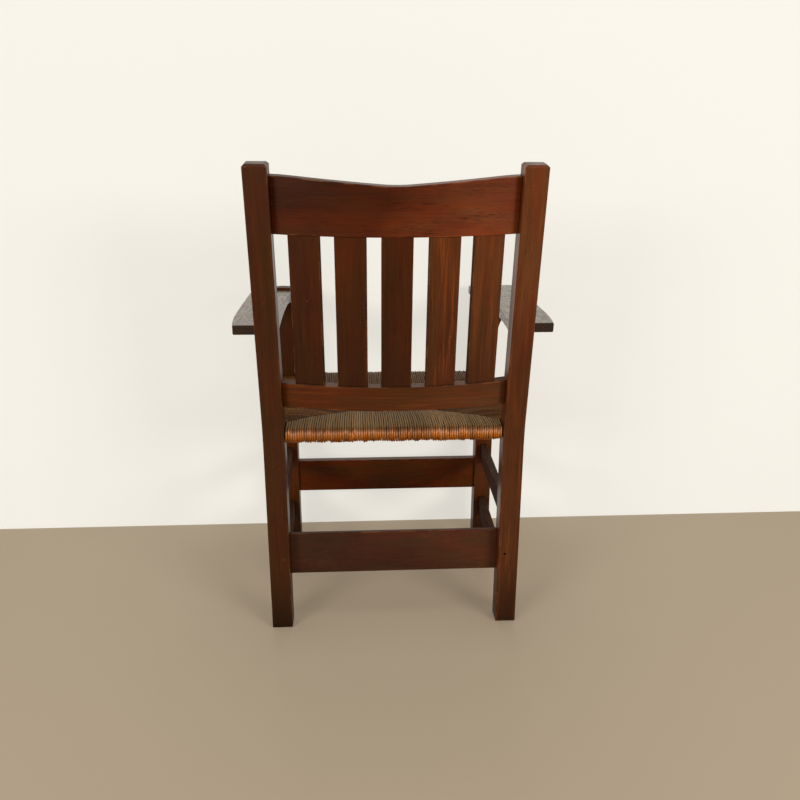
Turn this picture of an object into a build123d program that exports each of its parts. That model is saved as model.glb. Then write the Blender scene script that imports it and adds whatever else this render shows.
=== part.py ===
from build123d import *
from math import asin, cos, degrees, radians, sin, sqrt, tan
import os

os.makedirs("parts", exist_ok=True)

# Sizes are in millimetres and angles in degrees. The floor is at Z = 0 and the sitter faces -Y,
# so the sitter's left is +X. Left pieces are drawn, and right pieces are their mirror images.

# Frame, over the outside of the posts. It is wider at the front than at the back.
back_width = 513.2
front_width = 535.0
frame_depth = 441.8

# Back posts: upright to just below the seat's top, then bent to lean back.
back_post_width = 41.8
back_post_depth = 39.2
bend_under_seat = 16.6
bend_radius = 400.0
lean_angle = 9.64
post_over_crest = 20.5
top_chamfer = 4.2

# Front posts, with a tenon on top that comes through the arm and ends in a low pyramid.
front_post_width = 41.9
front_post_depth = 41.0
arm_tenon_shoulder = 4.0
arm_tenon_proud = 5.0
arm_tenon_peak = 2.4
arm_tenon_flat = 6.0
foot_chamfer = 2.0

# Edges that a hand touches are eased: straight ones are rounded, and curved ones are bevelled.
post_arris = 2.0
stretcher_arris = 1.6
slat_arris = 1.2
rail_bevel = 1.2
arm_bevel = 1.8

# Clearances in the joints.
fit_gap = 0.1
glue_room = 1.5
mortise_wall = 0.9
soft_gap = 0.3

# Tenons of the rails, stretchers and arms.
rail_tenon_length = 28.0
rail_tenon_thickness = 10.0
rail_tenon_shoulder = 8.0
side_tenon_length = 24.0
side_tenon_shoulder = 5.0
arm_tenon_length = 20.0
arm_tenon_width = 24.0
arm_tenon_thickness = 9.0

# Curved back rails. The lower one's height is measured along the lean from the bend.
rail_thickness = 20.0
rail_middle_proud = 11.0
rail_front_inset = 2.2
lower_rail_low = 57.6
lower_rail_breadth = 49.6
crest_middle_breadth = 85.3
crest_rise = 13.2
crest_middle_curve = 25.0
crest_end_curve = 40.0

# Back slats. The shifts are how far each one stands from even spacing between the posts, from
# the sitter's right to the sitter's left.
slat_width = 55.8
slat_length = 283.8
slat_thickness = 12.0
slat_shifts = (-1.5, -3.4, -1.3, -1.0, -1.5)
slat_tenon_length = 14.0
slat_tenon_shoulder = 3.0
slat_tenon_cheek = 2.0

# Arms, which rise a little to the front and are broadest over the front posts. Overhangs run out
# past the posts' faces, and insets lie within them.
arm_height = 651.2
arm_slope = 0.9
arm_thickness = 18.6
arm_front_overhang = 26.2
arm_outer_overhang = 51.5
arm_inner_overhang = 21.6
arm_waist_inset = 1.9
arm_waist_from_front = 166.0
arm_flare_end_from_front = 24.0
arm_rear_inset = 0.8
arm_shoulder_overhang = 45.5
arm_shoulder_from_rear = 110.0
arm_rear_overhang = 41.9
arm_corner_radius = 16.0

# Corbels under the arms, on the outer faces of the front posts, each held by two dowels.
corbel_reach = 40.0
corbel_height = 92.0
corbel_thickness = 19.0
corbel_nib = 33.0
corbel_toe = 5.5
dowel_diameter = 8.0
dowel_in_corbel = 10.0
dowel_in_post = 18.0
upper_dowel_drop = 14.0
lower_dowel_drop = 46.0

# Seat: four rails with rush wound over them in four triangles that meet along diagonal seams.
seat_height = 441.5
seat_sag = 22.0
seat_belly = 3.0
rush_thickness = 5.2
rush_roundness = 9.0
rush_end_bare = 4.0
seat_rail_width = 29.0
seat_rail_thickness = 21.5
seat_rail_roundness = 5.0
seat_rear_setback = 3.0
seat_front_setback = 0.5
seat_tenon_width = 12.0
seat_tenon_height = 11.0
seat_tenon_length = 22.0
seat_tenon_outset = 7.0

# Stretchers. The lower side ones are set from the floor, the rear and front ones start a step
# above them, and the upper side ones start a step above the rear one.
side_stretcher_thickness = 16.0
side_stretcher_breadth = 43.0
side_lower_low = 68.0
rear_stretcher_thickness = 9.5
rear_stretcher_breadth = 91.0
rear_stretcher_step = 3.3
rear_stretcher_inset = 5.7
rear_stretcher_tenon_thickness = 6.0
front_stretcher_thickness = 20.0
front_stretcher_breadth = 81.1
front_stretcher_step = 22.5
front_stretcher_inset = 8.5
side_upper_step = 7.2

# Pegs driven from behind through the tenons of the rear stretcher, almost through the posts.
peg_diameter = 6.0
peg_inset = 13.0
peg_cover = 2.2

# Cutting tools run past the work by this much, and tenons are rooted this deep in their rail.
overrun = 60.0
root = 4.0

# Heights along the lean of the back, from the bend, and heights from the floor.
lower_rail_high = lower_rail_low + lower_rail_breadth
crest_low = lower_rail_high + slat_length
crest_middle_high = crest_low + crest_middle_breadth
crest_end_high = crest_middle_high + crest_rise
lean_length = crest_end_high + post_over_crest
bend_height = seat_height - bend_under_seat
side_lower_high = side_lower_low + side_stretcher_breadth
rear_stretcher_low = side_lower_high + rear_stretcher_step
rear_stretcher_high = rear_stretcher_low + rear_stretcher_breadth
front_stretcher_low = side_lower_high + front_stretcher_step
front_stretcher_high = front_stretcher_low + front_stretcher_breadth
side_upper_low = rear_stretcher_high + side_upper_step
side_upper_high = side_upper_low + side_stretcher_breadth

# Places worked out from the sizes above.
lean = radians(lean_angle)
slope = radians(arm_slope)
front_reach = frame_depth + arm_front_overhang * cos(slope) + (arm_thickness - arm_bevel) * sin(slope)
rear_reach = (crest_middle_high - rail_bevel) * sin(lean) + rail_middle_proud * cos(lean)

y_back_rear = (front_reach - rear_reach) / 2
y_back_front = y_back_rear - back_post_depth
y_front_front = y_back_rear - frame_depth
y_front_rear = y_front_front + front_post_depth
x_back_outer = back_width / 2
x_back_inner = x_back_outer - back_post_width
x_back_middle = x_back_outer - back_post_width / 2
x_front_outer = front_width / 2
x_front_inner = x_front_outer - front_post_width
x_front_middle = x_front_outer - front_post_width / 2
y_front_middle = (y_front_front + y_front_rear) / 2
z_seat_rail = seat_height - rush_thickness - seat_rail_thickness / 2

# The back leans as one flat frame. In it, Y is square to the back and 0 at the posts' rear
# faces, and Z runs up the lean from the bend.
back_frame = Plane((0, y_back_rear, bend_height), x_dir=(1, 0, 0), z_dir=(0, sin(lean), cos(lean)))

# The arms lie in a gently sloping plane, with Y = 0 over the front faces of the front posts.
arm_frame = Plane((0, y_front_front, arm_height), x_dir=(1, 0, 0), z_dir=(0, sin(slope), cos(slope)))


def block(x, y, z):
    """A straight sided block from pairs of lowest and highest places."""
    size = (x[1] - x[0], y[1] - y[0], z[1] - z[0])
    middle = ((x[0] + x[1]) / 2, (y[0] + y[1]) / 2, (z[0] + z[1]) / 2)
    return Pos(*middle) * Box(*size)


def tongue(spec, cavity=False):
    """A tenon that points along the normal of its plane, or the mortise that takes it."""
    at, width, height, length = spec
    room = fit_gap if cavity else 0
    depth = length + glue_room if cavity else length
    across = (-width / 2 - room, width / 2 + room)
    upward = (-height / 2 - room, height / 2 + room)
    return at * block(across, upward, (-root, depth))


def mirrored(shape):
    return mirror(shape, about=Plane.YZ)


def both_ends(shape):
    return shape + mirrored(shape)


def long_edges(shape, axis):
    return shape.edges().filter_by(axis)


def between(low, high):
    return (low + high) / 2


# The curved rails' shared arc, seen down the lean of the back.
rail_end_setback = back_post_depth - rail_thickness - rail_front_inset
rail_sagitta = rail_middle_proud + rail_end_setback
rail_rear_radius = (x_back_inner ** 2 + rail_sagitta ** 2) / (2 * rail_sagitta)
rail_arc_middle = rail_middle_proud - rail_rear_radius
rail_front_radius = rail_rear_radius - rail_thickness
slat_arc_radius = rail_rear_radius - rail_thickness / 2
rail_end_front = rail_arc_middle + sqrt(rail_front_radius ** 2 - x_back_inner ** 2)
rail_end_middle = between(rail_end_front, -rail_end_setback)


def back_rail_tenon(low, high):
    at = Plane((x_back_inner, rail_end_middle, between(low, high)), x_dir=(0, 1, 0), z_dir=(1, 0, 0))
    return (at, rail_tenon_thickness, high - low - 2 * rail_tenon_shoulder, rail_tenon_length)


crest_tenon = back_rail_tenon(crest_low, crest_end_high)
lower_rail_tenon = back_rail_tenon(lower_rail_low, lower_rail_high)


def cross_tenon(x, y, low, high, thickness, length):
    """The tenon on the +X end of a stretcher that runs across the chair."""
    at = Plane((x, y, between(low, high)), x_dir=(0, 1, 0), z_dir=(1, 0, 0))
    return (at, thickness, high - low - 2 * rail_tenon_shoulder, length)


y_rear_stretcher = y_back_front + rear_stretcher_inset + rear_stretcher_thickness / 2
rear_stretcher_place = (x_back_inner, y_rear_stretcher, rear_stretcher_low, rear_stretcher_high)
rear_stretcher_tenon = cross_tenon(*rear_stretcher_place, rear_stretcher_tenon_thickness, rail_tenon_length)

# The front stretcher's tenons stop short of the side stretchers' ones, at whose height they are.
y_front_stretcher = y_front_rear - front_stretcher_inset - front_stretcher_thickness / 2
front_stretcher_place = (x_front_inner, y_front_stretcher, front_stretcher_low, front_stretcher_high)
before_side_mortise = front_post_width / 2 - rail_tenon_thickness / 2 - fit_gap
front_tenon_length = before_side_mortise - mortise_wall - glue_room
front_stretcher_tenon = cross_tenon(*front_stretcher_place, rail_tenon_thickness, front_tenon_length)

# The left side runs from the middle of the back post to the middle of the front post.
side_start = Vector(x_back_middle, y_back_front, 0)
side_end = Vector(x_front_middle, y_front_rear, 0)
side_forward = (side_end - side_start).normalized()
side_outward = Vector(-side_forward.Y, side_forward.X, 0)


def side_tenons(z, width, height, length):
    """The tenons on the rear and front ends of a member of the left side."""
    up = Vector(0, 0, z)
    rear = Plane(side_start + up, x_dir=-side_outward, z_dir=-side_forward)
    front = Plane(side_end + up, x_dir=side_outward, z_dir=side_forward)
    return [(rear, width, height, length), (front, width, height, length)]


def side_stretcher_tenons(low, high):
    height = high - low - 2 * side_tenon_shoulder
    return side_tenons(between(low, high), rail_tenon_thickness, height, side_tenon_length)


side_upper_tenons = side_stretcher_tenons(side_upper_low, side_upper_high)
side_lower_tenons = side_stretcher_tenons(side_lower_low, side_lower_high)

# Seat rails. The cross rails' tenons sit toward the outside, and the side rails' stop behind them.
y_seat_rear = y_back_rear - seat_rear_setback - rush_thickness - seat_rail_width / 2
y_seat_front = y_front_front + seat_front_setback + rush_thickness + seat_rail_width / 2
cross_mortise_inward = seat_tenon_width / 2 + fit_gap - seat_tenon_outset
behind_rear_mortise = y_seat_rear - cross_mortise_inward - y_back_front
behind_front_mortise = y_front_rear - y_seat_front - cross_mortise_inward
seat_side_tenon_length = min(behind_rear_mortise, behind_front_mortise) - mortise_wall - glue_room
seat_side_tenons = side_tenons(z_seat_rail, seat_tenon_width, seat_tenon_height, seat_side_tenon_length)


def seat_cross_tenon(x, y):
    at = Plane((x, y, z_seat_rail), x_dir=(0, 1, 0), z_dir=(1, 0, 0))
    return (at, seat_tenon_width, seat_tenon_height, seat_tenon_length)


seat_rear_tenon = seat_cross_tenon(x_back_inner, y_seat_rear + seat_tenon_outset)
seat_front_tenon = seat_cross_tenon(x_front_inner, y_seat_front - seat_tenon_outset)

# The arm's rear tenon runs along the arm into the front face of the back post.
arm_rear_local = (arm_frame.to_local_coords(Vector(0, y_back_front, arm_height))).Y
arm_face_lean = (arm_height - bend_height) * tan(lean)
arm_rear_y = arm_rear_local + arm_face_lean
arm_tenon_at = arm_frame * Plane(
    (x_back_middle, arm_rear_y, -arm_thickness / 2), x_dir=(-1, 0, 0), z_dir=(0, 1, 0)
)
arm_rear_tenon = (arm_tenon_at, arm_tenon_width, arm_tenon_thickness, arm_tenon_length)


def peg(radius):
    """A peg, or its hole, driven forward from the rear face of the left back post."""
    z = between(rear_stretcher_low, rear_stretcher_high)
    at = Plane((x_back_inner + peg_inset, y_back_rear, z), z_dir=(0, -1, 0))
    return at * Cylinder(radius, back_post_depth - peg_cover, align=(Align.CENTER, Align.CENTER, Align.MIN))


def peg_hole():
    return peg(peg_diameter / 2 + fit_gap)


def back_post():
    direction = Vector(0, sin(lean), cos(lean))
    forward = Vector(0, -cos(lean), sin(lean))
    rear_foot = Vector(x_back_inner, y_back_rear, 0)
    rear_bend = Vector(x_back_inner, y_back_rear, bend_height)
    rear_top = rear_bend + direction * lean_length
    front_foot = Vector(x_back_inner, y_back_front, 0)
    front_bend = Vector(x_back_inner, y_back_front, bend_height + back_post_depth * tan(lean / 2))
    front_top = rear_top + forward * back_post_depth
    rear_line = FilletPolyline(rear_foot, rear_bend, rear_top, radius=bend_radius)
    front_line = FilletPolyline(front_foot, front_bend, front_top, radius=bend_radius + back_post_depth)
    outline = [rear_line, Line(rear_top, front_top), front_line, Line(front_foot, rear_foot)]
    side = Face(Wire(Curve() + outline))
    post = Solid.extrude(side, Vector(back_post_width, 0, 0))
    post = chamfer(post.faces().sort_by(Axis.Z)[-1].edges(), top_chamfer)
    post = chamfer(post.faces().sort_by(Axis.Z)[0].edges(), foot_chamfer)
    across = post.edges().filter_by(Axis.X)
    lengthways = [edge for edge in post.edges() if edge not in across and edge.length > back_post_width]
    post = fillet(lengthways, post_arris)
    for spec in (crest_tenon, lower_rail_tenon):
        post -= back_frame.location * tongue(spec, cavity=True)
    own_tenons = (arm_rear_tenon, seat_rear_tenon, rear_stretcher_tenon)
    side_joints = (seat_side_tenons[0], side_upper_tenons[0], side_lower_tenons[0])
    for spec in own_tenons + side_joints:
        post -= tongue(spec, cavity=True)
    return post - peg_hole()


def arm_tenon(cavity=False):
    """The through tenon on top of the left front post, or its mortise in the arm."""
    room = fit_gap if cavity else 0
    half_width = front_post_width / 2 - arm_tenon_shoulder + room
    half_depth = front_post_depth / 2 - arm_tenon_shoulder + room
    low = arm_height - arm_thickness - overrun / 2
    high = arm_height + (overrun if cavity else arm_tenon_proud)
    sides = (x_front_middle - half_width, x_front_middle + half_width)
    ends = (y_front_middle - half_depth, y_front_middle + half_depth)
    return block(sides, ends, (low, high))


def arm_tenon_cap():
    """The low pyramid that ends the through tenon."""
    width = front_post_width - 2 * arm_tenon_shoulder
    depth = front_post_depth - 2 * arm_tenon_shoulder
    base = Plane((x_front_middle, y_front_middle, arm_height + arm_tenon_proud))
    top = base.offset(arm_tenon_peak)
    return loft([base * Rectangle(width, depth), top * Rectangle(arm_tenon_flat, arm_tenon_flat)])


def above_arm_underside():
    """Everything over the plane of the arms' undersides."""
    wide = (0, front_width)
    long = (-overrun, frame_depth + overrun)
    return arm_frame * block(wide, long, (-arm_thickness, overrun))


def corbel_dowel(drop, gap=0):
    """A dowel, or its hole, across the joint of the left corbel and its post."""
    length = dowel_in_corbel + dowel_in_post + 2 * gap
    z = arm_height - arm_thickness - drop
    at = Plane((x_front_outer - dowel_in_post - gap, y_front_middle, z), z_dir=(1, 0, 0))
    return at * Cylinder(dowel_diameter / 2 + gap, length, align=(Align.CENTER, Align.CENTER, Align.MIN))


def dowel_holes():
    return corbel_dowel(upper_dowel_drop, fit_gap) + corbel_dowel(lower_dowel_drop, fit_gap)


def front_post():
    sides = (x_front_inner, x_front_outer)
    ends = (y_front_front, y_front_rear)
    post = block(sides, ends, (0, arm_height))
    post = chamfer(post.faces().sort_by(Axis.Z)[0].edges(), foot_chamfer)
    post = fillet(long_edges(post, Axis.Z), post_arris)
    post -= above_arm_underside()
    post = post + arm_tenon() + arm_tenon_cap()
    for spec in (seat_front_tenon, front_stretcher_tenon):
        post -= tongue(spec, cavity=True)
    for spec in (seat_side_tenons[1], side_upper_tenons[1], side_lower_tenons[1]):
        post -= tongue(spec, cavity=True)
    return post - dowel_holes()


def bowed_board(low, high):
    """A board bent to the curved rails' arc, with its long edges bevelled, cut off at the posts."""
    section = Rectangle(rail_thickness, high - low)
    section = chamfer(section.vertices(), rail_bevel)
    section = Plane.YZ * Pos(rail_middle_proud - rail_thickness / 2, between(low, high)) * section
    bow = Axis((0, rail_arc_middle, 0), (0, 0, 1))
    turn = 2 * degrees(asin(x_back_outer / rail_front_radius))
    board = revolve(section, bow, turn).rotate(bow, -turn / 2)
    return board & block((-x_back_inner, x_back_inner), (-overrun, overrun), (low - overrun, high + overrun))


def slat_places():
    """The middle and the turn of each slat on the rails' arc."""
    count = len(slat_shifts)
    pitch = (2 * x_back_inner - count * slat_width) / (count + 1) + slat_width
    places = []
    for number, shift in enumerate(slat_shifts):
        x = (number - (count - 1) / 2) * pitch + shift
        turn = asin(x / slat_arc_radius)
        places.append((x, rail_arc_middle + slat_arc_radius * cos(turn), turn))
    return places


def slat_board(place, width, thickness, low, high):
    x, y, turn = place
    board = block((-width / 2, width / 2), (-thickness / 2, thickness / 2), (low, high))
    return Pos(x, y, 0) * Rot(0, 0, -degrees(turn)) * board


def slat_core(place, low, high, gap=0):
    """The part of a slat that is let into the rails, or the mortise for it."""
    width = slat_width - 2 * slat_tenon_shoulder + 2 * gap
    thickness = slat_thickness - 2 * slat_tenon_cheek + 2 * gap
    return slat_board(place, width, thickness, low, high)


def back_slat(place):
    slat = slat_board(place, slat_width, slat_thickness, lower_rail_high, crest_low)
    slat = fillet(long_edges(slat, Axis.Z), slat_arris)
    low = lower_rail_high - slat_tenon_length
    high = crest_low + slat_tenon_length
    return back_frame.location * (slat + slat_core(place, low, high))


def slat_mortises(low, high):
    mortises = Part()
    for place in slat_places():
        mortises += slat_core(place, low, high, fit_gap)
    return mortises


def lower_back_rail():
    rail = bowed_board(lower_rail_low, lower_rail_high)
    rail -= slat_mortises(lower_rail_high - slat_tenon_length - glue_room, lower_rail_high + overrun)
    rail += both_ends(tongue(lower_rail_tenon))
    return back_frame.location * rail


def over_crest_top():
    """Everything over the crest rail's top, which is a shallow softened V seen from behind."""
    straight = x_back_inner - crest_middle_curve - crest_end_curve
    curves = crest_middle_curve + crest_end_curve
    steepness = (crest_end_high - crest_middle_high) / (straight + curves / 2)
    middle = (0, crest_middle_high)
    end = (x_back_inner, crest_end_high)
    straight_low = (crest_middle_curve, crest_middle_high + steepness * crest_middle_curve / 2)
    straight_high = (x_back_inner - crest_end_curve, crest_end_high - steepness * crest_end_curve / 2)
    beyond = (x_back_outer, crest_end_high)
    high = crest_end_high + overrun
    lines = [
        TangentArc(middle, straight_low, tangent=(1, 0)),
        Line(straight_low, straight_high),
        TangentArc(end, straight_high, tangent=(-1, 0)),
        Line(end, beyond),
        Line(beyond, (x_back_outer, high)),
        Line((x_back_outer, high), (0, high)),
        Line((0, high), middle),
    ]
    half = make_face(Curve() + lines)
    facing = Plane((0, 0, 0), x_dir=(1, 0, 0), z_dir=(0, -1, 0))
    return extrude(facing * (half + mirrored(half)), overrun, both=True)


def crest_rail():
    rail = bowed_board(crest_low, crest_end_high + root) - over_crest_top()
    tops = [edge for edge in rail.edges() if edge.bounding_box().min.Z > crest_middle_high - root]
    tops = [edge for edge in tops if edge.bounding_box().size.X > rail_thickness]
    rail = chamfer(tops, rail_bevel)
    rail -= slat_mortises(crest_low - overrun, crest_low + slat_tenon_length + glue_room)
    rail += both_ends(tongue(crest_tenon))
    return back_frame.location * rail


def arm_outline():
    """The left arm from above: a bowed outer edge, and an inner edge that swells at the front."""
    front = -arm_front_overhang
    inner_reach = x_front_inner - arm_inner_overhang
    waist = (x_front_inner + arm_waist_inset, front + arm_waist_from_front)
    flare_end = (inner_reach, front + arm_flare_end_from_front)
    flare_middle = (between(waist[0], flare_end[0]), between(waist[1], flare_end[1]))
    rear_inner = (x_back_inner + arm_rear_inset, arm_rear_y + arm_thickness)
    rear_outer = (x_back_outer + arm_rear_overhang, arm_rear_y + arm_thickness)
    shoulder = (x_front_outer + arm_shoulder_overhang, arm_rear_y - arm_shoulder_from_rear)
    outer_corner = (x_front_outer + arm_outer_overhang, front)
    side_arc = TangentArc(outer_corner, shoulder, tangent=(0, 1))
    lines = [
        side_arc,
        TangentArc(shoulder, rear_outer, tangent=side_arc % 1),
        Line(rear_outer, rear_inner),
        TangentArc(waist, rear_inner, tangent=(0, 1)),
        TangentArc(waist, flare_middle, tangent=(0, -1)),
        TangentArc(flare_end, flare_middle, tangent=(0, 1)),
        Line(flare_end, (inner_reach, front)),
        Line((inner_reach, front), outer_corner),
    ]
    face = make_face(Curve() + lines)
    corners = face.vertices().sort_by(Axis.Y)[:2]
    return fillet(corners, arm_corner_radius)


def behind_post_front():
    """Everything behind the plane of the leaning posts' front faces."""
    tall = (-bend_height / 2, lean_length + overrun)
    return back_frame.location * block((0, front_width), (-back_post_depth, overrun * 2), tall)


def arm():
    board = extrude(arm_frame * arm_outline(), -arm_thickness)
    skin = board.faces().sort_by(Axis.Z)
    board = chamfer(skin[0].edges() + skin[-1].edges(), arm_bevel)
    board -= behind_post_front()
    board += tongue(arm_rear_tenon)
    return board - arm_tenon(cavity=True)


def corbel():
    top = arm_height
    under = arm_height - arm_thickness
    foot = under - corbel_height
    inner = x_front_outer
    outer = inner + corbel_reach
    nib = (outer, 0, under - corbel_nib)
    toe = (inner + corbel_toe, 0, foot)
    lines = [
        Line((inner, 0, top), (outer, 0, top)),
        Line((outer, 0, top), nib),
        TangentArc(toe, nib, tangent=(0, 0, 1)),
        Line(toe, (inner, 0, foot)),
        Line((inner, 0, foot), (inner, 0, top)),
    ]
    face = Face(Wire(Curve() + lines))
    piece = Solid.extrude(face, Vector(0, corbel_thickness, 0))
    piece = Pos(0, y_front_middle - corbel_thickness / 2, 0) * piece
    piece -= above_arm_underside()
    return piece - dowel_holes()


def cross_board(x, y, low, high, thickness):
    """A straight board across the chair, with its long edges rounded."""
    board = block((-x, x), (y - thickness / 2, y + thickness / 2), (low, high))
    return fillet(long_edges(board, Axis.X), stretcher_arris)


def rear_stretcher():
    board = cross_board(*rear_stretcher_place, rear_stretcher_thickness)
    board += both_ends(tongue(rear_stretcher_tenon))
    return board - both_ends(peg_hole())


def front_stretcher():
    board = cross_board(*front_stretcher_place, front_stretcher_thickness)
    return board + both_ends(tongue(front_stretcher_tenon))


def between_side_posts(shape):
    """Cuts a left side member off flush with the faces of its posts."""
    return shape & block((0, front_width), (y_front_rear, y_back_front), (0, arm_height))


def side_plane(z):
    """A plane across the left side member, with X outward and Y up."""
    return Plane(side_start + Vector(0, 0, z), x_dir=side_outward, z_dir=side_forward)


def along_side(face, z):
    """A left side member of this section, cut off at the posts."""
    length = (side_end - side_start).length
    bar = extrude(Pos(0, 0, -root) * face, length + 2 * root)
    return between_side_posts(side_plane(z) * bar)


def side_stretcher(low, high, tenons):
    section = RectangleRounded(side_stretcher_thickness, high - low, stretcher_arris)
    bar = along_side(section, between(low, high))
    for spec in tenons:
        bar += tongue(spec)
    return bar


def seat_rail_section(grow=0):
    wide = seat_rail_width + 2 * grow
    tall = seat_rail_thickness + 2 * grow
    return RectangleRounded(wide, tall, seat_rail_roundness + grow)


def seat_cross_rail(x, y, grow=0):
    at = Plane((0, y, z_seat_rail), x_dir=(0, 1, 0), z_dir=(1, 0, 0))
    return extrude(at * seat_rail_section(grow), x, both=True)


def seat_rear_rail():
    return seat_cross_rail(x_back_inner, y_seat_rear) + both_ends(tongue(seat_rear_tenon))


def seat_front_rail():
    return seat_cross_rail(x_front_inner, y_seat_front) + both_ends(tongue(seat_front_tenon))


def seat_side_rail():
    bar = along_side(seat_rail_section(), z_seat_rail)
    for spec in seat_side_tenons:
        bar += tongue(spec)
    return bar


def wrap_section():
    """Rush round the outside of a seat rail, square where it runs on into the seat."""
    half = seat_rail_width / 2
    tall = seat_rail_thickness / 2 + rush_thickness
    outside = half + rush_thickness
    corners = [(-half, -tall), (outside, -tall), (outside, tall), (-half, tall)]
    face = make_face(Polyline(*corners, close=True))
    rounded = face.vertices().sort_by(Axis.X)[-2:]
    return fillet(rounded, rush_roundness)


def cross_wrap(x, y, outward):
    at = Plane((0, y, z_seat_rail), x_dir=(0, outward, 0), z_dir=(outward, 0, 0))
    return extrude(at * wrap_section(), x - rush_end_bare, both=True)


def pad(grow, low_edge, high_edge, low_middle, high_middle):
    """The flat form between the rails, whose four triangles fall to a short line in the middle."""
    inward = seat_rail_width / 2 - grow
    rear = y_seat_rear - inward
    front = y_seat_front + inward
    rate = (x_front_middle - x_back_middle) / (y_front_rear - y_back_front)
    x_rear = x_back_middle - inward + (rear - y_back_front) * rate
    x_front = x_back_middle - inward + (front - y_back_front) * rate
    y_middle = between(rear, front)
    x_middle = x_rear - (rear - y_middle)
    plan = [(x_rear, rear), (x_front, front), (-x_front, front), (-x_rear, rear)]
    spine = [(x_middle, y_middle), (-x_middle, y_middle)]
    high = [Vector(x, y, high_edge) for x, y in plan]
    low = [Vector(x, y, low_edge) for x, y in plan]
    high_spine = [Vector(x, y, high_middle) for x, y in spine]
    low_spine = [Vector(x, y, low_middle) for x, y in spine]
    outlines = []
    for ring, ridge in ((high, high_spine), (low, low_spine)):
        outlines.append([ring[0], ring[1], ridge[0]])
        outlines.append([ring[1], ring[2], ridge[1], ridge[0]])
        outlines.append([ring[2], ring[3], ridge[1]])
        outlines.append([ring[3], ring[0], ridge[0], ridge[1]])
    for number in range(len(plan)):
        following = (number + 1) % len(plan)
        outlines.append([low[number], low[following], high[following], high[number]])
    faces = [Face(Wire.make_polygon(outline, close=True)) for outline in outlines]
    return Solid(Shell(faces))


def post_sections(gap):
    """The four posts at seat height, grown by a gap all round."""
    tall = (0, arm_height)
    back = block((x_back_inner - gap, x_back_outer + gap), (y_back_front - gap, y_back_rear + gap), tall)
    front_x = (x_front_inner - gap, x_front_outer + gap)
    front = block(front_x, (y_front_front - gap, y_front_rear + gap), tall)
    return both_ends(back + front)


def rush_seat():
    top = seat_height
    under = seat_height - 2 * rush_thickness - seat_rail_thickness
    seat = pad(0, under, top, under - seat_belly, top - seat_sag)
    seat += cross_wrap(x_back_inner, y_seat_rear, 1)
    seat += cross_wrap(x_front_inner, y_seat_front, -1)
    seat += both_ends(along_side(wrap_section(), z_seat_rail))
    seat -= seat_cross_rail(x_back_inner, y_seat_rear, fit_gap)
    seat -= seat_cross_rail(x_front_inner, y_seat_front, fit_gap)
    seat -= both_ends(along_side(seat_rail_section(fit_gap), z_seat_rail))
    low = under + rush_thickness
    high = top - rush_thickness
    seat -= pad(fit_gap, low, high, low - seat_belly, high - seat_sag)
    return seat - post_sections(soft_gap)


def seat_stuffing():
    low = seat_height - rush_thickness - seat_rail_thickness + soft_gap
    high = seat_height - rush_thickness - soft_gap
    stuffing = pad(-soft_gap, low, high, low - seat_belly, high - seat_sag)
    return stuffing - post_sections(soft_gap)


pieces = {
    "crest_rail": crest_rail(),
    "lower_back_rail": lower_back_rail(),
    "front_stretcher": front_stretcher(),
    "rear_stretcher": rear_stretcher(),
    "seat_rail_rear": seat_rear_rail(),
    "seat_rail_front": seat_front_rail(),
    "rush_seat": rush_seat(),
    "seat_stuffing": seat_stuffing(),
    "stretcher_pegs": both_ends(peg(peg_diameter / 2)),
}

left_pieces = {
    "back_post": back_post(),
    "front_post": front_post(),
    "arm": arm(),
    "corbel": corbel(),
    "seat_rail": seat_side_rail(),
    "side_stretcher_upper": side_stretcher(side_upper_low, side_upper_high, side_upper_tenons),
    "side_stretcher_lower": side_stretcher(side_lower_low, side_lower_high, side_lower_tenons),
}
for name, piece in left_pieces.items():
    pieces[name + "_left"] = piece
    pieces[name + "_right"] = mirrored(piece)

dowels = corbel_dowel(upper_dowel_drop) + corbel_dowel(lower_dowel_drop)
pieces["corbel_dowels"] = both_ends(dowels)

for number, place in enumerate(reversed(slat_places())):
    pieces["back_slat_" + str(number + 1)] = back_slat(place)

for name, piece in pieces.items():
    export_step(piece, "parts/" + name + ".step")
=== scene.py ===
from math import cos, pi, radians, sin

import bpy
import numpy as np
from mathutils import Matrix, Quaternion, Vector


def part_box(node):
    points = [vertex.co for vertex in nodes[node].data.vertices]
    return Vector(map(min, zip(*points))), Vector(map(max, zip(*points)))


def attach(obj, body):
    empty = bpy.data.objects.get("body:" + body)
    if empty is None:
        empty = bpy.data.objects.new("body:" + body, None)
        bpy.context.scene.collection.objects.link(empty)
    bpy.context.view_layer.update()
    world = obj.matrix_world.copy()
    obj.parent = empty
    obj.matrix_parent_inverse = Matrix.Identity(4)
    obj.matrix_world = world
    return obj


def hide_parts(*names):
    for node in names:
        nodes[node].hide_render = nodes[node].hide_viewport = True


# A mission armchair: stained birch, worn and varnished, with a wound rush seat.
# Lengths are in metres unless a name ends in mm. +Z is up and the sitter faces -Y.
MM = 0.001

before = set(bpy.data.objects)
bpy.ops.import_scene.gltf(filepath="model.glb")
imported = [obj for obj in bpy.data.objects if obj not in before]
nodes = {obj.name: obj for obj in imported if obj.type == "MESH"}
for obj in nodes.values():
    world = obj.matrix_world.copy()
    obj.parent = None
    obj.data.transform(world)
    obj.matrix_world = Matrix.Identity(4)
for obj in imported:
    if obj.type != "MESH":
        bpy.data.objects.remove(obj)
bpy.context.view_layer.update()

# Places read from the chair's own frame.
back_post_low, back_post_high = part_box("back_post_left")
front_post_low, front_post_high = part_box("front_post_left")
rear_rail_low, rear_rail_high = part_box("seat_rail_rear")
front_rail_low, front_rail_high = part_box("seat_rail_front")
seat_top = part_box("rush_seat")[1].z

# The back posts are upright to this height and lean back above it.
bend_height = 0.4249
lean_slope = 0.17

# The ends of the bowed rails come toward the sitter, by this times the square of the distance
# from the middle.
rail_bow = 0.6

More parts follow.
